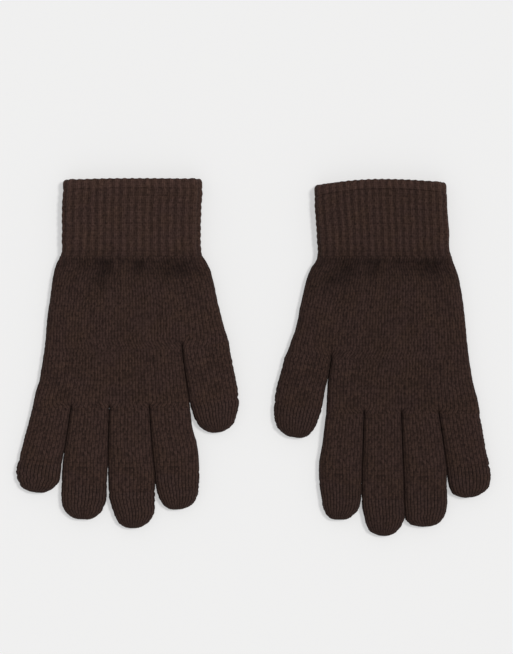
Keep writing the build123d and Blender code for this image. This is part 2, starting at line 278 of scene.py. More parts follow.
# ------------------------------------------------------------------ the stitches
UNEVEN = np.random.default_rng(3).normal(0, 1, (257, 263))


def knit(u, v, strength=1.0):
    """Relief of plain knit, in mm: each wale is a column of V shaped stitches, and no
    two stitches are quite the same."""
    u, v = np.broadcast_arrays(u, v)
    p = u - np.floor(u)
    side = np.abs(2 * p - 1)
    wale = np.clip(1 - side**2.2, 0, 1) ** 0.55
    notch = np.exp(-((side / 0.2) ** 2))
    w = v + 0.42 * side
    leg = 0.5 + 0.5 * np.cos(2 * math.pi * w)
    odd = UNEVEN[np.floor(u).astype(int) % 257, np.floor(w + 0.5).astype(int) % 263]
    wide = UNEVEN[(np.floor(u).astype(int) * 7) % 257, 5]
    return strength * (0.19 * wale * (1 + 0.13 * wide) - 0.05 * notch + wale * leg * (0.085 + 0.04 * odd))


def rib(u, v, thread):
    """Relief of the 2 by 2 rib, in mm: a pair of proud knit wales, then a pair of purl
    wales behind them, all pinched at each elastic thread."""
    u, v = np.broadcast_arrays(u, v)
    p = u - np.floor(u)
    bump = np.clip(0.5 - 0.66 * np.cos(2 * math.pi * p), 0, 1)
    bump = smooth(bump)
    fine = 4 * u
    side = np.abs(2 * (fine - np.floor(fine)) - 1)
    wale = np.clip(1 - side**2.2, 0, 1) ** 0.6
    w = v + 0.45 * side
    leg = 0.5 + 0.5 * np.cos(2 * math.pi * w)
    odd = UNEVEN[np.floor(fine).astype(int) % 257, np.floor(w + 0.5).astype(int) % 263]
    purl = 0.5 + 0.5 * np.cos(2 * math.pi * (v + 0.5))
    pinch = (0.5 - 0.5 * np.cos(2 * math.pi * thread)) ** 0.55
    knitted = bump * (0.13 * wale + wale * leg * (0.1 + 0.04 * odd))
    return 1.0 * bump * (0.45 + 0.55 * pinch) + 0.48 * pinch + knitted + 0.12 * (1 - bump) * purl


# ------------------------------------------------------------------ meshes
def make_mesh(name, P, u, v, inner, k, pole=None, inner_pole=None, strips=1, painted_shade=None):
    """A closed thick shell: the outer grid P, the inner grid, and rims that join them.
    With poles, the far end is closed instead of open."""
    R, M = P.shape[:2]
    r, m = inner.shape[:2]
    co = [P.reshape(-1, 3), inner.reshape(-1, 3)]
    outer_at = np.arange(R * M).reshape(R, M)
    inner_at = R * M + np.arange(r * m).reshape(r, m)
    count = R * M + r * m
    faces, uvs, bakes = [], [], []

    jn = np.r_[np.arange(1, M), 0]
    u_next = np.r_[u[1:], u[-1]]
    strip = (np.arange(M) * strips) // M
    first = np.array([np.argmax(strip == s) for s in range(strips)])
    size = np.array([(strip == s).sum() for s in range(strips)])
    bu0 = (np.arange(M) - first[strip]) / size[strip]
    bu1 = (np.arange(M) + 1 - first[strip]) / size[strip]
    lo_v, hi_v = 0.12, 0.995
    band = (hi_v - lo_v) / strips
    bv = lambda row: lo_v + band * (strip[None, :] + 0.01 + 0.98 * row[:, None] / (R - 1 + (1 if pole is not None else 0)))
    i = np.arange(R - 1)

    def quads(a, b, c, d):
        return np.stack([x.ravel() for x in (a, b, c, d)], 1)

    faces.append(quads(outer_at[:-1], outer_at[1:], outer_at[1:][:, jn], outer_at[:-1][:, jn]))
    full = lambda row_like, col_like: np.broadcast_arrays(row_like, col_like)
    U0, U1 = np.broadcast_to(u, (R - 1, M)), np.broadcast_to(u_next, (R - 1, M))
    V0, V1 = np.broadcast_to(v[:-1, None], (R - 1, M)), np.broadcast_to(v[1:, None], (R - 1, M))
    uvs.append(np.stack([np.stack([a.ravel(), b.ravel()], 1) for a, b in ((U0, V0), (U0, V1), (U1, V1), (U1, V0))], 1))
    B0, B1 = np.broadcast_to(bu0, (R - 1, M)), np.broadcast_to(bu1, (R - 1, M))
    C0, C1 = bv(i), bv(i + 1)
    bakes.append(np.stack([np.stack([a.ravel(), b.ravel()], 1) for a, b in ((B0, C0), (B0, C1), (B1, C1), (B1, C0))], 1))

    # inner face, seen from inside
    mn = np.r_[np.arange(1, m), 0]
    faces.append(quads(inner_at[:-1], inner_at[:-1][:, mn], inner_at[1:][:, mn], inner_at[1:]))
    ui = np.interp(np.arange(m) / m, np.arange(M) / M, u)
    vi = np.interp(np.arange(r) / max(r - 1, 1), np.arange(R) / (R - 1), v)
    ui_next = np.r_[ui[1:], u[-1]]
    U0, U1 = np.broadcast_to(ui, (r - 1, m)), np.broadcast_to(ui_next, (r - 1, m))
    V0, V1 = np.broadcast_to(vi[:-1, None], (r - 1, m)), np.broadcast_to(vi[1:, None], (r - 1, m))
    uvs.append(np.stack([np.stack([a.ravel(), b.ravel()], 1) for a, b in ((U0, V0), (U1, V0), (U1, V1), (U0, V1))], 1))
    q0, q1 = np.broadcast_to(np.arange(m) / m, (r - 1, m)), np.broadcast_to((np.arange(m) + 1) / m, (r - 1, m))
    w0 = np.broadcast_to(0.03 + 0.08 * np.arange(r - 1)[:, None] / (r - 1), (r - 1, m))
    w1 = w0 + 0.08 / (r - 1)
    bakes.append(np.stack([np.stack([a.ravel(), b.ravel()], 1) for a, b in ((q0, w0), (q1, w0), (q1, w1), (q0, w1))], 1))

    tri, tri_uv, tri_bake = [], [], []

    def add_tri(ids, knit_uv, bake_uv):
        tri.append(ids)
        tri_uv.append(knit_uv)
        tri_bake.append(bake_uv)

    def rim(row, inner_row, flip, base):
        half, ihalf = M // 2, m // 2
        V = v[row]
        for part in (0, 1):
            for c in range(ihalf):
                a = part * half + min(c * k, half - 1)
                b = part * half + min((c + 1) * k, half - 1)
                last = c == ihalf - 1
                outs = [(part * half + half - 1)] if last else list(range(a, b + 1))
                if last:
                    outs.append((part * half + half) % M)
                i0 = inner_at[inner_row, part * ihalf + c]
                i1 = inner_at[inner_row, (part * ihalf + c + 1) % m]
                x0, x1 = (part * ihalf + c) / m, (part * ihalf + c + 1) / m
                cut = len(outs) // 2
                span = max(len(outs) - 1, 1)
                ox = [x0 + (x1 - x0) * t / span for t in range(len(outs))]
                ou = [u[o] for o in outs]
                if last and part == 1:
                    ou[-1] = u[-1]
                for t in range(len(outs) - 1):
                    near, nx = (i0, x0) if t < cut else (i1, x1)
                    ids = [outer_at[row, outs[t]], outer_at[row, outs[t + 1]], near]
                    k_uv = [(ou[t], V), (ou[t + 1], V), (ou[t], V + 0.4)]
                    b_uv = [(ox[t], base), (ox[t + 1], base), (nx, base + 0.008)]
                    if flip:
                        ids, k_uv, b_uv = ids[::-1], k_uv[::-1], b_uv[::-1]
                    add_tri(ids, k_uv, b_uv)
                ids = [i0, outer_at[row, outs[cut]], i1]
                k_uv = [(ou[0], V + 0.4), (ou[cut], V), (ou[-1], V + 0.4)]
                b_uv = [(x0, base + 0.008), (ox[cut], base), (x1, base + 0.008)]
                if flip:
                    ids, k_uv, b_uv = ids[::-1], k_uv[::-1], b_uv[::-1]
                add_tri(ids, k_uv, b_uv)

    rim(0, 0, False, 0.002)
    if pole is None:
        rim(R - 1, r - 1, True, 0.014)
    else:
        co.append(np.array([pole, inner_pole], float))
        top_v = hi_v
        for j in range(M):
            ids = [outer_at[R - 1, j], count, outer_at[R - 1, jn[j]]]
            vv = v[-1] + 0.3
            bb = lo_v + band * (strip[j] + 0.01 + 0.98 * (R - 1) / R)
            add_tri(ids, [(u[j], v[-1]), (u[j], vv), (u_next[j], v[-1])], [(bu0[j], bb), ((bu0[j] + bu1[j]) / 2, lo_v + band * (strip[j] + 0.99)), (bu1[j], bb)])
        for j in range(m):
            add_tri([inner_at[r - 1, j], inner_at[r - 1, mn[j]], count + 1], [(ui[j], vi[-1]), (ui_next[j], vi[-1]), (ui[j], vi[-1] + 0.3)], [(j / m, 0.112), ((j + 1) / m, 0.112), ((j + 0.5) / m, 0.118)])

    co = np.concatenate(co) * MM
    quad = np.concatenate(faces)
    tris = np.array(tri, int)
    loops = np.r_[quad.ravel(), tris.ravel()]
    starts = np.r_[np.arange(len(quad)) * 4, len(quad) * 4 + np.arange(len(tris)) * 3]
    knit_uv = np.concatenate([np.concatenate(uvs).reshape(-1, 2), np.array(tri_uv, float).reshape(-1, 2)])
    bake_uv = np.concatenate([np.concatenate(bakes).reshape(-1, 2), np.array(tri_bake, float).reshape(-1, 2)])

    me = bpy.data.meshes.new(name)
    me.vertices.add(len(co))
    me.vertices.foreach_set("co", co.astype(np.float32).ravel())
    me.loops.add(len(loops))
    me.loops.foreach_set("vertex_index", loops.astype(np.int32))
    me.polygons.add(len(starts))
    me.polygons.foreach_set("loop_start", starts.astype(np.int32))
    me.update(calc_edges=True)
    for label, data in (("knit", knit_uv), ("OFBake", bake_uv)):
        layer = me.uv_layers.new(name=label)
        layer.data.foreach_set("uv", data.astype(np.float32).ravel())
    me.uv_layers.active = me.uv_layers["knit"]
    me.uv_layers["knit"].active_render = True
    me.polygons.foreach_set("use_smooth", np.ones(len(starts), bool))
    # the rims are sharp, so that neighbouring pieces shade as one cloth
    on_rim = np.zeros(len(co), bool)
    on_rim[outer_at[0]] = True
    if pole is None:
        on_rim[outer_at[R - 1]] = True
    ends = np.empty(len(me.edges) * 2, np.int32)
    me.edges.foreach_get("vertices", ends)
    sharp = on_rim[ends].reshape(-1, 2).all(1)
    # painted shade, one value per point, which the knit material reads
    if painted_shade is not None:
        tight = np.zeros(len(co), np.float32)
        tight[: R * M] = painted_shade.ravel()
        me.attributes.new("painted_shade", "FLOAT", "POINT").data.foreach_set("value", tight)
    mark = me.attributes.new("sharp_edge", "BOOLEAN", "EDGE")
    mark.data.foreach_set("value", sharp)
    me.update()
    ob = bpy.data.objects.new(name, me)
    bpy.context.scene.collection.objects.link(ob)
    return ob


def pieces_of(P, cuts):
    """Row ranges between the cuts, each with its shared first and last row."""
    return [(a, b) for a, b in zip(cuts[:-1], cuts[1:])]


# ------------------------------------------------------------------ materials
class Nodes:
    def __init__(self, name):
        self.mat = bpy.data.materials.new(name)
        self.mat.use_nodes = True
        self.t = self.mat.node_tree
        self.bsdf = next(n for n in self.t.nodes if n.type == "BSDF_PRINCIPLED")

    def put(self, socket, value):
        if isinstance(value, bpy.types.NodeSocket):
            self.t.links.new(value, socket)
        else:
            socket.default_value = value

    def math(self, op, a, b=0.0, c=0.0, clamp=False):
        n = self.t.nodes.new("ShaderNodeMath")
        n.operation, n.use_clamp = op, clamp
        for s, x in zip(n.inputs, (a, b, c)):
            self.put(s, x)
        return n.outputs[0]

    def range(self, x, a, b, lo=0.0, hi=1.0):
        n = self.t.nodes.new("ShaderNodeMapRange")
        n.interpolation_type = "SMOOTHSTEP"
        for key, value in (("Value", x), ("From Min", a), ("From Max", b), ("To Min", lo), ("To Max", hi)):
            self.put(n.inputs[key], value)
        return n.outputs["Result"]

    def vector(self, x, y, z=0.0):
        n = self.t.nodes.new("ShaderNodeCombineXYZ")
        for s, a in zip(n.inputs, (x, y, z)):
            self.put(s, a)
        return n.outputs[0]

    def noise(self, vec, scale, detail=2.0, rough=0.5):
        n = self.t.nodes.new("ShaderNodeTexNoise")
        self.put(n.inputs["Vector"], vec)
        n.inputs["Scale"].default_value = scale
        n.inputs["Detail"].default_value = detail
        n.inputs["Roughness"].default_value = rough
        return n.outputs["Fac"]

    def mix(self, f, a, b):
        n = self.t.nodes.new("ShaderNodeMix")
        n.data_type = "RGBA"
        self.put(n.inputs["Factor"], f)
        self.put(n.inputs[6], a)
        self.put(n.inputs[7], b)
        return n.outputs[2]

    def scale(self, col, by):
        n = self.t.nodes.new("ShaderNodeVectorMath")
        n.operation = "SCALE"
        self.put(n.inputs[0], col)
        self.put(n.inputs["Scale"], by)
        return n.outputs[0]


def knit_material(name, pitch, ribbed=False, odd=0.55, light=(0.058, 0.032, 0.0262), dark=(0.0115, 0.006, 0.0049), valley_shade=1.0, tone=1.0, warm=(0.062, 0.034, 0.0225)):
    N = Nodes(name)
    uv = N.t.nodes.new("ShaderNodeUVMap")
    uv.uv_map = "knit"
    split = N.t.nodes.new("ShaderNodeSeparateXYZ")
    N.t.links.new(uv.outputs[0], split.inputs[0])
    u, v = split.outputs[0], split.outputs[1]
    wale = N.math("MULTIPLY", u, 4.0) if ribbed else u
    p = N.math("FRACT", wale)
    side = N.math("ABSOLUTE", N.math("MULTIPLY_ADD", p, 2.0, -1.0))
    # millimetres on the cloth
    flat = N.vector(N.math("MULTIPLY", u, pitch), N.math("MULTIPLY", v, 1.62))
    lean = N.math("MULTIPLY_ADD", side, 0.42 if not ribbed else 0.45, v)
    leg = N.math("FRACT", lean)
    # each stitch's own shade
    cell = N.t.nodes.new("ShaderNodeTexWhiteNoise")
    cell.noise_dimensions = "3D"
    N.put(cell.inputs["Vector"], N.vector(N.math("FLOOR", N.math("MULTIPLY", wale, 2.0)), N.math("FLOOR", N.math("ADD", lean, 0.5)), 3.0))
    each = cell.outputs["Value"]
    leg_side = N.math("ABSOLUTE", N.math("MULTIPLY_ADD", leg, 2.0, -1.0))  # 1 between stitches
    between = N.range(leg_side, 0.72, 1.0)
    valley = N.range(side, 0.62, 1.0)
    notch = N.range(side, 0.16, 0.0)
    # fibres run along each leg
    fibre_vec = N.vector(N.math("MULTIPLY", u, pitch * 2.6), N.math("MULTIPLY_ADD", lean, 1.62 * 0.9, 0.0), N.math("MULTIPLY", side, 0.7))
    fibre = N.noise(fibre_vec, 3.4, 3.0, 0.65)
    heather = N.noise(flat, 0.62, 3.0, 0.6)
    patch = N.noise(flat, 0.06, 2.0, 0.5)
    bright = N.math("MULTIPLY_ADD", N.math("SUBTRACT", heather, 0.5), 1.3, N.math("MULTIPLY_ADD", N.math("SUBTRACT", fibre, 0.5), 0.9, N.math("MULTIPLY_ADD", N.math("SUBTRACT", each, 0.5), odd, 0.6)), clamp=True)
    col = N.mix(bright, (*dark, 1), (*light, 1))
    col = N.mix(N.range(patch, 0.35, 0.7, 0.0, 0.55), col, N.mix(bright, (*dark, 1), (*warm, 1)))
    # painted shade in the valleys between wales, in each wale's centre notch and between stitches
    shade = N.math("SUBTRACT", 1.0, N.math("MULTIPLY", valley, 0.62 * valley_shade))
    shade = N.math("MULTIPLY", shade, N.math("SUBTRACT", 1.0, N.math("MULTIPLY", notch, 0.22)))
    shade = N.math("MULTIPLY", shade, N.math("SUBTRACT", 1.0, N.math("MULTIPLY", between, 0.3)))
    if ribbed:  # the purl wales lie back, in shade
        deep = N.range(N.math("ABSOLUTE", N.math("MULTIPLY_ADD", N.math("FRACT", u), 2.0, -1.0)), 0.35, 0.85)
        shade = N.math("MULTIPLY", shade, N.math("SUBTRACT", 1.0, N.math("MULTIPLY", deep, 0.3)))
    # painted shade: darker below the rib and at the rib's lower end, read from a point attribute
    painted_shade = N.t.nodes.new("ShaderNodeAttribute")
    painted_shade.attribute_name = "painted_shade"
    shade = N.math("MULTIPLY", shade, N.math("SUBTRACT", 1.0, N.math("MULTIPLY", painted_shade.outputs["Fac"], 0.42)))
    col = N.scale(col, N.math("MULTIPLY", shade, tone))
    N.put(N.bsdf.inputs["Base Color"], col)
    N.put(N.bsdf.inputs["Roughness"], N.range(fibre, 0.2, 0.8, 0.97, 0.8))
    N.bsdf.inputs["Specular IOR Level"].default_value = 0.1
    N.bsdf.inputs["Sheen Weight"].default_value = 0.035
    N.bsdf.inputs["Sheen Roughness"].default_value = 0.45
    N.bsdf.inputs["Sheen Tint"].default_value = (0.75, 0.62, 0.55, 1)
    height = N.math("MULTIPLY_ADD", fibre, 0.5, N.math("MULTIPLY_ADD", between, -0.55, N.math("MULTIPLY_ADD", notch, -0.35, N.math("MULTIPLY", valley, -0.5))))
    bump = N.t.nodes.new("ShaderNodeBump")
    bump.inputs["Strength"].default_value = 0.8
    bump.inputs["Distance"].default_value = 0.00022
    N.put(bump.inputs["Height"], height)
    N.t.links.new(bump.outputs[0], N.bsdf.inputs["Normal"])
    return N.mat


def thread_material():
    N = Nodes("elastic_thread")
    uv = N.t.nodes.new("ShaderNodeUVMap")
    uv.uv_map = "knit"
    wrap = N.t.nodes.new("ShaderNodeTexWave")
    wrap.wave_type, wrap.bands_direction = "BANDS", "DIAGONAL"
    N.t.links.new(uv.outputs[0], wrap.inputs["Vector"])
    wrap.inputs["Scale"].default_value = 9.0
    wrap.inputs["Distortion"].default_value = 1.2
    col = N.mix(wrap.outputs["Fac"], (0.008, 0.005, 0.0045, 1), (0.03, 0.019, 0.016, 1))
    N.put(N.bsdf.inputs["Base Color"], col)
    N.bsdf.inputs["Roughness"].default_value = 0.7
    bump = N.t.nodes.new("ShaderNodeBump")
    bump.inputs["Strength"].default_value = 0.6
    bump.inputs["Distance"].default_value = 0.0001
    N.put(bump.inputs["Height"], wrap.outputs["Fac"])
    N.t.links.new(bump.outputs[0], N.bsdf.inputs["Normal"])
    return N.mat


# ------------------------------------------------------------------ camera, light, floor
camera_data = bpy.data.cameras.new("camera")
camera_data.sensor_fit = "HORIZONTAL"
camera_data.sensor_width = 36.0
CAMERA_Z, PLANE_Z = 2.4, 0.0055
camera_data.lens = 36.0 * (CAMERA_Z - PLANE_Z) / (513 * 0.66 * MM)
camera_data.clip_end = 20
camera = bpy.data.objects.new("camera", camera_data)
camera.location = (2.0 * MM, 19.45 * MM, CAMERA_Z)
bpy.context.scene.collection.objects.link(camera)
bpy.context.scene.camera = camera

world = bpy.data.worlds.new("studio")
world.use_nodes = True
background = world.node_tree.nodes["Background"]
background.inputs["Color"].default_value = (0.985, 0.99, 1.0, 1)
background.inputs["Strength"].default_value = 0.5
bpy.context.scene.world = world
bpy.context.scene.view_settings.view_transform = "Standard"
bpy.context.scene.view_settings.look = "None"

sun_data = bpy.data.lights.new("key", "SUN")
sun_data.energy = 1.72
sun_data.angle = math.radians(11)
sun_data.color = (1.0, 0.985, 0.965)
sun = bpy.data.objects.new("key", sun_data)
from mathutils import Vector

sun.rotation_euler = Vector((0.46, 0.2, 1.0)).to_track_quat("Z", "Y").to_euler()
bpy.context.scene.collection.objects.link(sun)

floor_mesh = bpy.data.meshes.new("floor")
floor_mesh.from_pydata([(-4, -4, -0.0004), (4, -4, -0.0004), (4, 4, -0.0004), (-4, 4, -0.0004)], [], [(0, 1, 2, 3)])
floor = bpy.data.objects.new("floor", floor_mesh)
bpy.context.scene.collection.objects.link(floor)
paper = Nodes("paper")
paper.bsdf.inputs["Base Color"].default_value = (0.45, 0.45, 0.45, 1)
paper.bsdf.inputs["Emission Color"].default_value = (1, 1, 1, 1)  # a lit table
paper.bsdf.inputs["Emission Strength"].default_value = 0.428
paper.bsdf.inputs["Roughness"].default_value = 0.9
paper.bsdf.inputs["Specular IOR Level"].default_value = 0.1
floor_mesh.materials.append(paper.mat)

KNIT, TIP, RIB, HEM = {}, {}, {}, {}
for each_side, glove_tone in (("left", 1.0), ("right", 0.93)):  # the right glove is a shade darker than the left
    KNIT[each_side] = knit_material(f"{each_side}_fine_knit", 2.05, tone=glove_tone)
    TIP[each_side] = knit_material(f"{each_side}_conductive_knit", 2.05, odd=0.3, valley_shade=1.45, light=(0.061, 0.0345, 0.029), dark=(0.0105, 0.0057, 0.0048), tone=glove_tone)
    RIB[each_side] = knit_material(f"{each_side}_rib_knit", 5.0, ribbed=True, odd=0.4, valley_shade=0.7, tone=1.44 * glove_tone)
    HEM[each_side] = knit_material(f"{each_side}_hem_knit", 5.0, ribbed=True, odd=0.4, valley_shade=0.7, tone=1.62 * glove_tone)
THREAD = thread_material()


def finish_piece(ob, material, node):
    ob.data.materials.append(material)
    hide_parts(node)


def digit_frame(d):
    a = math.radians(d["lean"])
    return np.array(d["base"]), np.array([math.sin(a), -math.cos(a)]), np.array([math.cos(a), math.sin(a)])


def digit_rows(side, name, start_left, start_right, courses, free, seed):
    """Left and right outline points for every row of a digit, and its pole."""
    d = DIGITS[side][name]
    trim = d.get("trim", ([], []))
    base, along, across = digit_frame(d)
    out = []
    last = d["rows"][-1]
    end = (last[1] + last[2]) / 2
    for which, start in ((1, start_left), (2, start_right)):
        rel = np.array(start) - base
        pts = [(rel @ along, rel @ across)] + [(r[0], r[which]) for r in d["rows"]] + [(d["length"] - 0.12, end + (last[which] - end) * 0.45), (d["length"], end)]
        pts = np.array(pts)
        t = np.r_[0, np.cumsum(np.linalg.norm(np.diff(pts, axis=0), axis=1))]
        tt = np.linspace(0, t[-1], 500)
        dense = np.stack([pchip(t, pts[:, 0], tt), pchip(t, pts[:, 1], tt)], 1)
        dense = soften(dense, 30)
        out.append(even(dense, courses * ROWS + 1)[:-1])
    left, right = out
    at = np.arange(len(left)) * (1.6 / ROWS)
    split = d["length"] - d["tip"]
    for edge, sign, which in ((left, 1, 0), (right, -1, 1)):
        inner = free[which]
        gap = 0.02 if inner else 0.18 * smooth(at / 20.0)
        # the yarn changes at a small step, and the edge is never quite even
        step = 0 if inner else (0.15, 0.42)[(seed // 5 + which) % 2] * np.exp(-(((edge[:, 0] - split) / 1.2) ** 2))
        shake = 0.16 * ripple(at, at * 0, seed + which, 3.6, 5) + 0.1 * ripple(at, at * 0, seed + 7 + which, 1.9, 4)
        opens = 0.78 if side == "right" and name != "thumb" else 0.62
        loose = smooth((at / d["length"] - opens) / 0.15) if inner else smooth(at / 6.0)
        edge[:, 1] += sign * (gap + step + shake * loose)
        for s0, width, amount in trim[which]:
            edge[:, 1] += sign * amount * np.exp(-(((edge[:, 0] - s0) / width) ** 2))
    world = lambda q: base + q[:, :1] * along + q[:, 1:] * across
    pole = base + d["length"] * along + end * across
    return world(left), world(right), pole


def build_digit(side, name, first_ring, start_left, start_right, v0):
    """A finger or thumb. first_ring is the row that it shares with the hand."""
    d = DIGITS[side][name]
    wales = DIGIT_WALES[name]
    courses = int(round((d["length"] + 9) / 1.6))
    # which edges face another digit
    order = SIDES[side]["fingers"]
    if name == "thumb":
        free = (side == "left", side == "right")
    else:
        free = (name != order[0] or side == "right", name != order[-1] or side == "left")
    seed = 100 + 10 * sorted(DIGIT_WALES).index(name) + (side == "right") * 5
    A, B, pole = digit_rows(side, name, start_left, start_right, courses, free, seed)
    rows = len(A)
    width = np.linalg.norm(B - A, axis=1) / 2
    widest = width[int(rows * 0.55):int(rows * 0.8)].mean()
    close = np.minimum(1, width / (0.86 * widest)) ** 0.72
    close[: rows // 2] = 1
    base, along, across = digit_frame(d)
    centre = (A + B) / 2
    s = (centre - base) @ along
    split = d["length"] - d["tip"]
    tip_row = int(round(np.argmin(abs(s - split)) / ROWS)) * ROWS

    pressed = TIGHT + (ROUND * 0.9 - TIGHT) * smooth((s - 4) / (0.8 * d["length"]))
    r0, r1 = pressed if free[0] else ROUND * 0.9, pressed if free[1] else ROUND * 0.9
    P = ring_of([lobe(A, B, wales, K, side, 1.0, 1.0, close, r0=r0, r1=r1)])
    u = wale_index(wales, K)
    v = v0 + np.arange(rows) / ROWS
    n = normals(P)
    firm = 1 + 0.55 * smooth((s - split + 1) / 2.0)  # the plated tip is a firmer knit
    fade = smooth((1 - np.arange(rows) / rows) / 0.05)  # stitches gather at the closed end
    relief = knit(u[None, :], v[:, None]) * (firm * (0.35 + 0.65 * fade))[:, None]
    # the yarn changes with a slight waist
    waist = 0.36 * np.exp(-(((s - split) / 1.0) ** 2))
    relief = relief - waist[:, None]
    if name != "thumb":  # the fingers were joined here, on a drawn-in course
        relief = relief - 0.16 * np.exp(-((np.arange(rows) / ROWS / 0.5) ** 2))[:, None]
    relief += 0.1 * ripple(P[..., 0], P[..., 1], 5, 6.0)
    P = P + n * relief[..., None]
    P[..., 2] = np.maximum(P[..., 2], 0.0)
    # the digit has its own number of wales, so its first row lies along the hand's edge
    half = len(first_ring) // 2
    want = wales * K + 1
    f = np.linspace(0, half - 1, want)
    lie = lambda line: np.stack([np.interp(f, np.arange(half), line[:, c]) for c in range(3)], 1)
    P[0] = np.concatenate([lie(first_ring[:half]), lie(first_ring[half:])])
    # inner face
    keep = list(range(0, rows, ROWS))
    keep = [i for i in keep if width[i] > 4.5]
    pick = lambda r: r[keep] if isinstance(r, np.ndarray) else r
    inner = ring_of([lobe(A[keep], B[keep], wales, 1, side, 1.0, 1.0, close[keep], thin=WALL, r0=pick(r0), r1=pick(r1))])
    pole3 = np.array([*pole, mid_height(pole[1])])
    inner_pole = np.array([*(pole - along * 2.6), mid_height(pole[1])])

    # cuts between the root, the shaft and the touch tip
    if name == "thumb":
        joint = JOINTS[f"{side}_thumb_end_joint"]
        reach = (np.array(joint["pos_m"][:2]) / MM - base) @ along
        at_root = reach - 8.5
        root_row = int(round(np.argmin(abs(s - at_root)) / ROWS)) * ROWS
    else:
        joint = JOINTS[f"{side}_{name}_middle_joint"]
        fold_y = joint["pos_m"][1] / MM
        root_row = int(round(np.argmin(abs(centre[:, 1] - (fold_y + 8.5))) / ROWS)) * ROWS
    knuckle = JOINTS[f"{side}_{name}_knuckle"]
    hand, near, far = f"{side}_hand", f"{side}_{name}_near", f"{side}_{name}_far"

    def inner_rows(a, b):
        ids = [i for i, r in enumerate(keep) if a <= r <= b]
        return inner[ids]

    root = make_mesh(f"{side}_{name}_root_knit", P[: root_row + 1], u, v[: root_row + 1], inner_rows(0, root_row), K)
    shaft = make_mesh(f"{side}_{name}_shaft_knit", P[root_row : tip_row + 1], u, v[root_row : tip_row + 1], inner_rows(root_row, tip_row), K)
    tip = make_mesh(f"{side}_{name}_tip_knit", P[tip_row:], u, v[tip_row:], inner_rows(tip_row, rows), K, pole3, inner_pole)
    finish_piece(root, KNIT[side], f"{side}_{name}_root")
    finish_piece(shaft, KNIT[side], f"{side}_{name}_shaft")
    finish_piece(tip, TIP[side], f"{side}_{name}_touch_tip")
    if name == "thumb":
        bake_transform(root)
        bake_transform(shaft)
    else:
        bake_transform(root)
        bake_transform(shaft)
    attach(tip, far)
    return root, shaft, tip


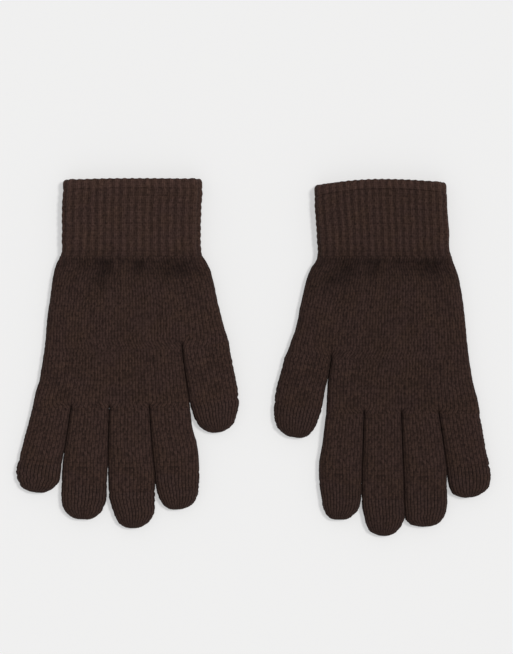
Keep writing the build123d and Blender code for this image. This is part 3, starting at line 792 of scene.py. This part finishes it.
def build_hand(side):
    S = SIDES[side]
    left_hand = side == "left"
    wrist_y = JOINTS[f"{side}_wrist_fold"]["pos_m"][1] / MM
    knuckle_y = JOINTS[f"{side}_middle_knuckle"]["pos_m"][1] / MM
    crotch = np.array([S["crease"][0][1], S["crease"][0][0]])
    n_lower, n_upper = S["courses"]
    rows_l = n_lower * ROWS + 1
    t = np.linspace(0, 1, rows_l)

    def edge(table, y):
        ys, xs = [r[0] for r in table], [r[1] for r in table]
        return pchip(ys, xs, y)

    # ---- hand_lower: wrist to the thumb's base and crotch
    y_palm = wrist_y + (crotch[1] - wrist_y) * t
    thumb_table = S["outer_right"] if left_hand else S["outer_left"]
    palm_table = S["outer_left"] if left_hand else S["outer_right"]
    y_thumb = wrist_y + (thumb_table[-1][0] - wrist_y) * t
    palm_edge = np.stack([edge(palm_table, y_palm), y_palm], 1)
    thumb_edge = np.stack([edge(thumb_table, y_thumb), y_thumb], 1)
    share = PALM_WALES / (PALM_WALES + THUMB_WALES)
    start = palm_edge[0] + (thumb_edge[0] - palm_edge[0]) * share
    # the line where palm and thumb wales meet runs straight up from the crotch
    bend = t[:, None]
    div = start + (crotch - start) * bend
    div[:, 0] += (2.2 if left_hand else -2.2) * np.sin(math.pi * t)
    m_thumb = smooth((t - 0.86) / 0.14) ** 1.3
    r_thumb = 6.0 - 2.6 * smooth((t - 0.86) / 0.14)
    if left_hand:
        ends = [(palm_edge, div, PALM_WALES, 1.0, m_thumb, True, False, None, r_thumb), (div, thumb_edge, THUMB_WALES, m_thumb, 1.0, False, True, r_thumb, None)]
    else:
        ends = [(thumb_edge, div, THUMB_WALES, 1.0, m_thumb, True, False, None, r_thumb), (div, palm_edge, PALM_WALES, m_thumb, 1.0, False, True, r_thumb, None)]
    every = lambda x: x[::ROWS] if isinstance(x, np.ndarray) else x
    P = ring_of([lobe(a, b, w, K, side, w0, w1, r0=q0, r1=q1) for a, b, w, w0, w1, _, _, q0, q1 in ends])
    inner = ring_of([lobe(a[::ROWS], b[::ROWS], w, 1, side, every(w0), every(w1), thin=WALL, out0=o0, out1=o1, r0=every(q0), r1=every(q1)) for a, b, w, w0, w1, o0, o1, q0, q1 in ends])
    total = PALM_WALES + THUMB_WALES
    u = wale_index(total, K)
    v = np.arange(rows_l) / ROWS
    nrm = normals(P)
    relief = knit(u[None, :], v[:, None]) + 0.1 * ripple(P[..., 0], P[..., 1], 5, 6.0)
    # short gathers run down from the rib
    gather = np.exp(-((wrist_y - P[..., 1]) / 8.5) ** 2) * smooth((wrist_y - P[..., 1]) / 2.0)
    half = total * K + 1
    rib_u = np.r_[np.linspace(0, 0.5, half), np.linspace(0.5, 1.0, half)] * S["ribs"]
    rib_end = smooth(np.clip(0.5 - 0.66 * np.cos(2 * math.pi * rib_u), 0, 1))[None, :]
    relief += 0.62 * rib_end * np.exp(-(((wrist_y - P[..., 1]) / 6.5) ** 2)) * (0.3 + 0.7 * np.abs(nrm[..., 2]) ** 0.7)
    relief += 0.6 * gather * ripple(P[..., 0], P[..., 1] * 0.18, 41 if left_hand else 57, 5.2)
    P = P + nrm * relief[..., None]
    P[..., 2] = np.maximum(P[..., 2], 0.0)
    lower = P
    lower_parts = (lower, u, v, inner)

    # ---- hand_upper: thumb crotch to the knuckles
    rows_u = n_upper * ROWS + 1
    t = np.linspace(0, 1, rows_u)
    y = crotch[1] + (knuckle_y - crotch[1]) * t
    palm_e = np.stack([edge(palm_table, y), y], 1)
    crease_e = np.stack([edge(S["crease"], y), y], 1)
    L, R = (palm_e, crease_e) if left_hand else (crease_e, palm_e)
    cro = np.array(S["crotches"])
    cro[0], cro[-1] = L[-1, 0], R[-1, 0]
    wales = [FINGER_WALES[f] for f in S["fingers"]]
    even_share = np.cumsum([0] + wales) / sum(wales)
    real_share = (cro - cro[0]) / (cro[-1] - cro[0])
    f = smooth(t)[:, None]
    shares = even_share[None, :] * (1 - f) + real_share[None, :] * f
    lines = [np.stack([L[:, 0] + (R[:, 0] - L[:, 0]) * shares[:, k], y], 1) for k in range(5)]
    m = smooth((y - (knuckle_y + 5)) / -5.0) ** 1.2
    near = y - knuckle_y
    r_out = ROUND - (ROUND * 0.1) * smooth(1 - near / 12)  # the fingers' own rounding
    # the edge beside the thumb is pressed against it
    r_crease = 4.0 + (TIGHT + 2.0 - 4.0) * t
    specs = []
    for k in range(4):
        q0 = TIGHT if k else (r_out if left_hand else r_crease)
        q1 = TIGHT if k < 3 else (r_crease if left_hand else r_out)
        specs.append((lines[k], lines[k + 1], wales[k], 1.0 if k == 0 else m, 1.0 if k == 3 else m, k == 0, k == 3, q0, q1))
    P = ring_of([lobe(a, b, w, K, side, w0, w1, r0=q0, r1=q1) for a, b, w, w0, w1, _, _, q0, q1 in specs])
    inner_u = ring_of([lobe(a[::ROWS], b[::ROWS], w, 1, side, every(w0), every(w1), thin=WALL, out0=o0, out1=o1, r0=every(q0), r1=every(q1)) for a, b, w, w0, w1, o0, o1, q0, q1 in specs])
    u = wale_index(PALM_WALES, K)
    v_u = v[-1] + np.arange(rows_u) / ROWS
    relief = knit(u[None, :], v_u[:, None]) + 0.1 * ripple(P[..., 0], P[..., 1], 5, 6.0)
    P = P + normals(P) * relief[..., None]
    P[..., 2] = np.maximum(P[..., 2], 0.0)
    # the first row is the lower hand's last row, palm part
    half = total * K + 1
    span = PALM_WALES * K + 1
    last = lower[-1]
    if left_hand:
        top, low = last[:span], last[half:][-span:]
        thumb_top, thumb_low = last[span - 1 : half], last[half : half + THUMB_WALES * K + 1]
    else:
        top, low = last[half - span : half], last[half : half + span]
        thumb_top, thumb_low = last[: THUMB_WALES * K + 1], last[half:][-(THUMB_WALES * K + 1) :]
    P[0] = np.concatenate([top, low])
    upper = P

    lower_ob = make_mesh(f"{side}_hand_lower_knit", *lower_parts, K, strips=2, painted_shade=painted_gather_shade(lower[..., 0], lower[..., 1], side))
    upper_ob = make_mesh(f"{side}_hand_upper_knit", upper, u, v_u, inner_u, K, strips=2)
    finish_piece(lower_ob, KNIT[side], f"{side}_hand_lower")
    finish_piece(upper_ob, KNIT[side], f"{side}_hand_upper")
    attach(lower_ob, f"{side}_hand")
    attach(upper_ob, f"{side}_hand")

    # ---- fingers
    half_u = PALM_WALES * K + 1
    at = 0
    for k, name in enumerate(S["fingers"]):
        n = wales[k] * K
        top = upper[-1, at : at + n + 1]
        low_start = half_u + (half_u - 1 - (at + n))
        low = upper[-1, low_start : low_start + n + 1]
        build_digit(side, name, np.concatenate([top, low]), (cro[k], knuckle_y), (cro[k + 1], knuckle_y), v_u[-1])
        at += n
    if left_hand:
        starts = (tuple(crotch), tuple(thumb_edge[-1]))
    else:
        starts = (tuple(thumb_edge[-1]), tuple(crotch))
    build_digit(side, "thumb", np.concatenate([thumb_top, thumb_low]), *starts, v[-1])
    return lower, wrist_y


def build_cuff(side, wrist_ring, wrist_y):
    S = SIDES[side]
    total = PALM_WALES + THUMB_WALES
    top_y, hem = S["hem_top"], S["hem"]
    courses_cuff = 27
    courses_hem = 5
    lip = ROWS
    rows_c, rows_h = courses_cuff * ROWS, courses_hem * ROWS
    # rows run from the mouth to the wrist
    y = np.r_[np.linspace(top_y, top_y - hem, rows_h + 1), np.linspace(top_y - hem, wrist_y, rows_c + 1)[1:]]
    rows = len(y)
    wob = 0.18 * ripple(y, y * 0, 7 if side == "left" else 9, 9.0, 3)
    xl = pchip([r[0] for r in S["cuff_left"]], [r[1] for r in S["cuff_left"]], y) + wob * smooth((y - wrist_y) / 6)
    xr = pchip([r[0] for r in S["cuff_right"]], [r[1] for r in S["cuff_right"]], y) - wob[::-1] * smooth((y - wrist_y) / 6)
    proud = 0.22 * smooth((y - (top_y - hem)) / 1.0)
    # the mouth's corners round off
    corner = np.clip((y - (top_y - 2.8)) / 2.8, 0, 1)
    corner = 2.3 * (1 - np.sqrt(1 - corner**2 * 0.97))
    corner_r = corner * (1.0 if side == "left" else 1.35)
    # leaves room for the ribs' own height, and more for the hem's
    deep = 0.52 * smooth((y - wrist_y) / 5.0) + 0.4 * smooth((y - (top_y - hem)) / 1.0)
    A = np.stack([xl + deep + corner, y], 1)
    B = np.stack([xr - deep * (1.0 if side == "left" else 1.5) - corner_r, y], 1)
    # the ends of the first row must meet the hand
    A[-1, 0], B[-1, 0] = wrist_ring[0, 0], wrist_ring[total * K, 0]
    P = ring_of([lobe(A, B, total, K, side, 1.0, 1.0)])
    inner = ring_of([lobe(A[::ROWS], B[::ROWS], total, 1, side, 1.0, 1.0, thin=2.0)])
    half = total * K + 1
    frac = np.r_[np.linspace(0, 0.5, half), np.linspace(0.5, 1.0, half)]
    ribs = S["ribs"]
    u = frac * ribs
    v = np.arange(rows) / ROWS
    thread = (wrist_y + 3.0 - y) / 4.6
    nrm = normals(P)
    face = 0.05 + 0.95 * smooth(np.abs(nrm[..., 2]))  # the ribs flatten at the folded sides
    relief = rib(u[None, :], v[:, None], thread[:, None]) * face
    into = smooth((y - wrist_y) / 5.0)[:, None]  # the rib begins within a few courses
    relief = relief * (0.55 + 0.45 * into) + 0.5 * knit(frac[None, :] * total * 2, v[:, None]) * (1 - into)
    hemmed = smooth((y - (top_y - hem)) / 0.8)[:, None]
    flat = rib(u[None, :], v[:, None], thread[:, None] * 0 + 0.5)
    relief = relief * (1 - hemmed) + (0.36 + 0.52 * flat * face) * hemmed
    fold = np.exp(-(((y - (top_y - hem)) / 0.6) ** 2))[:, None]  # the hem's stitched line
    relief = relief + proud[:, None] - 0.24 * fold
    lip_in = np.clip((y - (top_y - 1.1)) / 1.1, 0, 1)[:, None]
    relief = relief - 0.75 * (1 - np.sqrt(np.clip(1 - lip_in**2, 0, 1)))
    P = P + nrm * relief[..., None]
    # the mouth's edge is drawn up at each rib and arches
    bump = 0.5 - 0.5 * np.cos(2 * math.pi * (u - np.floor(u)))
    mouth = smooth((y - (top_y - 4.0)) / 4.0)[:, None]
    P[..., 1] += mouth * (0.5 * bump[None, :] - 0.75)
    mid_x = (xl + xr)[:, None] / 2
    half_w = (xr - xl)[:, None] / 2

    def arch(P, y, mid_x, half_w, upper):
        q = np.clip((P[..., 0] - mid_x) / half_w, -1, 1)
        al, ar = S["arch"]
        drop = np.where(q < 0, al, ar) * np.abs(q) ** 2.1
        rise = smooth((y - wrist_y) / 46.0)[:, None]
        P[..., 1] += drop * rise * (1.0 if upper is None else upper)

    layer = np.r_[np.ones(half), np.full(half, 0.8)][None, :]
    arch(P, y, mid_x, half_w, layer)
    yi, mi, hi = y[::ROWS], mid_x[::ROWS], half_w[::ROWS]
    n_in = total + 1
    layer_in = np.r_[np.ones(n_in), np.full(n_in, 0.8)][None, :]
    arch(inner, yi, mi, hi, layer_in)
    inner[0, :, 1] -= 0.5
    P[..., 2] = np.maximum(P[..., 2], 0.0)
    P[-1] = wrist_ring
    # painted shade along the rib's lower end, darkest at the wrist
    painted_shade = np.broadcast_to(0.55 * np.exp(-(((y - wrist_y) / 4.5) ** 2))[:, None], P.shape[:2])
    hem_ob = make_mesh(f"{side}_cuff_hem_knit", P[: rows_h + 1], u, v[: rows_h + 1], inner[: courses_hem + 1], K, strips=4)
    cuff_ob = make_mesh(f"{side}_cuff_knit", P[rows_h:], u, v[rows_h:], inner[courses_hem:], K, strips=2, painted_shade=painted_shade[rows_h:])
    finish_piece(hem_ob, HEM[side], f"{side}_cuff_hem")
    finish_piece(cuff_ob, RIB[side], f"{side}_cuff")
    hand, cuff = f"{side}_hand", f"{side}_wrist_cuff"
    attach(hem_ob, cuff)

    # ---- elastic threads, laid inside the rib
    verts, faces, uv = [], [], []
    around, ring_n = 6, 120
    for k in range(9):
        ty = wrist_y + 3.0 + 4.6 * k
        a = np.array([[np.interp(ty, y[::-1], A[::-1, 0]), ty]])
        b = np.array([[np.interp(ty, y[::-1], B[::-1, 0]), ty]])
        line = ring_of([lobe(a, b, ring_n // 2, 1, side, 1.0, 1.0, thin=1.55)])
        mx, hw = np.array([[a[0, 0] + b[0, 0]]]) / 2, np.array([[b[0, 0] - a[0, 0]]]) / 2
        c = line.shape[1] // 2
        arch(line, np.array([ty]), mx, hw, np.r_[np.ones(c), np.full(c, 0.8)][None, :])
        line = line[0]
        tangent = np.roll(line, -1, 0) - np.roll(line, 1, 0)
        tangent /= np.linalg.norm(tangent, axis=1, keepdims=True)
        side_v = np.array([0, 1.0, 0]) - tangent * tangent[:, 1:2]
        side_v /= np.linalg.norm(side_v, axis=1, keepdims=True)
        up_v = np.cross(tangent, side_v)
        base_i = len(verts)
        for i in range(len(line)):
            for j in range(around):
                ang = 2 * math.pi * j / around
                verts.append(tuple((line[i] + 0.3 * (math.cos(ang) * side_v[i] + math.sin(ang) * up_v[i])) * MM))
        nl = len(line)
        for i in range(nl):
            for j in range(around):
                i2, j2 = (i + 1) % nl, (j + 1) % around
                faces.append((base_i + i * around + j2, base_i + i2 * around + j2, base_i + i2 * around + j, base_i + i * around + j))
                uv.append([(i, (j + 1) / around), (i + 1, (j + 1) / around), (i + 1, j / around), (i, j / around)])
    me = bpy.data.meshes.new(f"{side}_cuff_elastic_threads")
    me.from_pydata(verts, [], faces)
    layer_uv = me.uv_layers.new(name="knit")
    layer_uv.data.foreach_set("uv", np.array(uv, np.float32).ravel())
    me.polygons.foreach_set("use_smooth", np.ones(len(faces), bool))
    me.update()
    threads = bpy.data.objects.new(f"{side}_cuff_elastic_threads", me)
    bpy.context.scene.collection.objects.link(threads)
    finish_piece(threads, THREAD, f"{side}_cuff_elastic")
    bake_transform(cuff_ob)
    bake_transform(threads)


for side in ("left", "right"):
    lower, wrist_y = build_hand(side)
    build_cuff(side, lower[0], wrist_y)
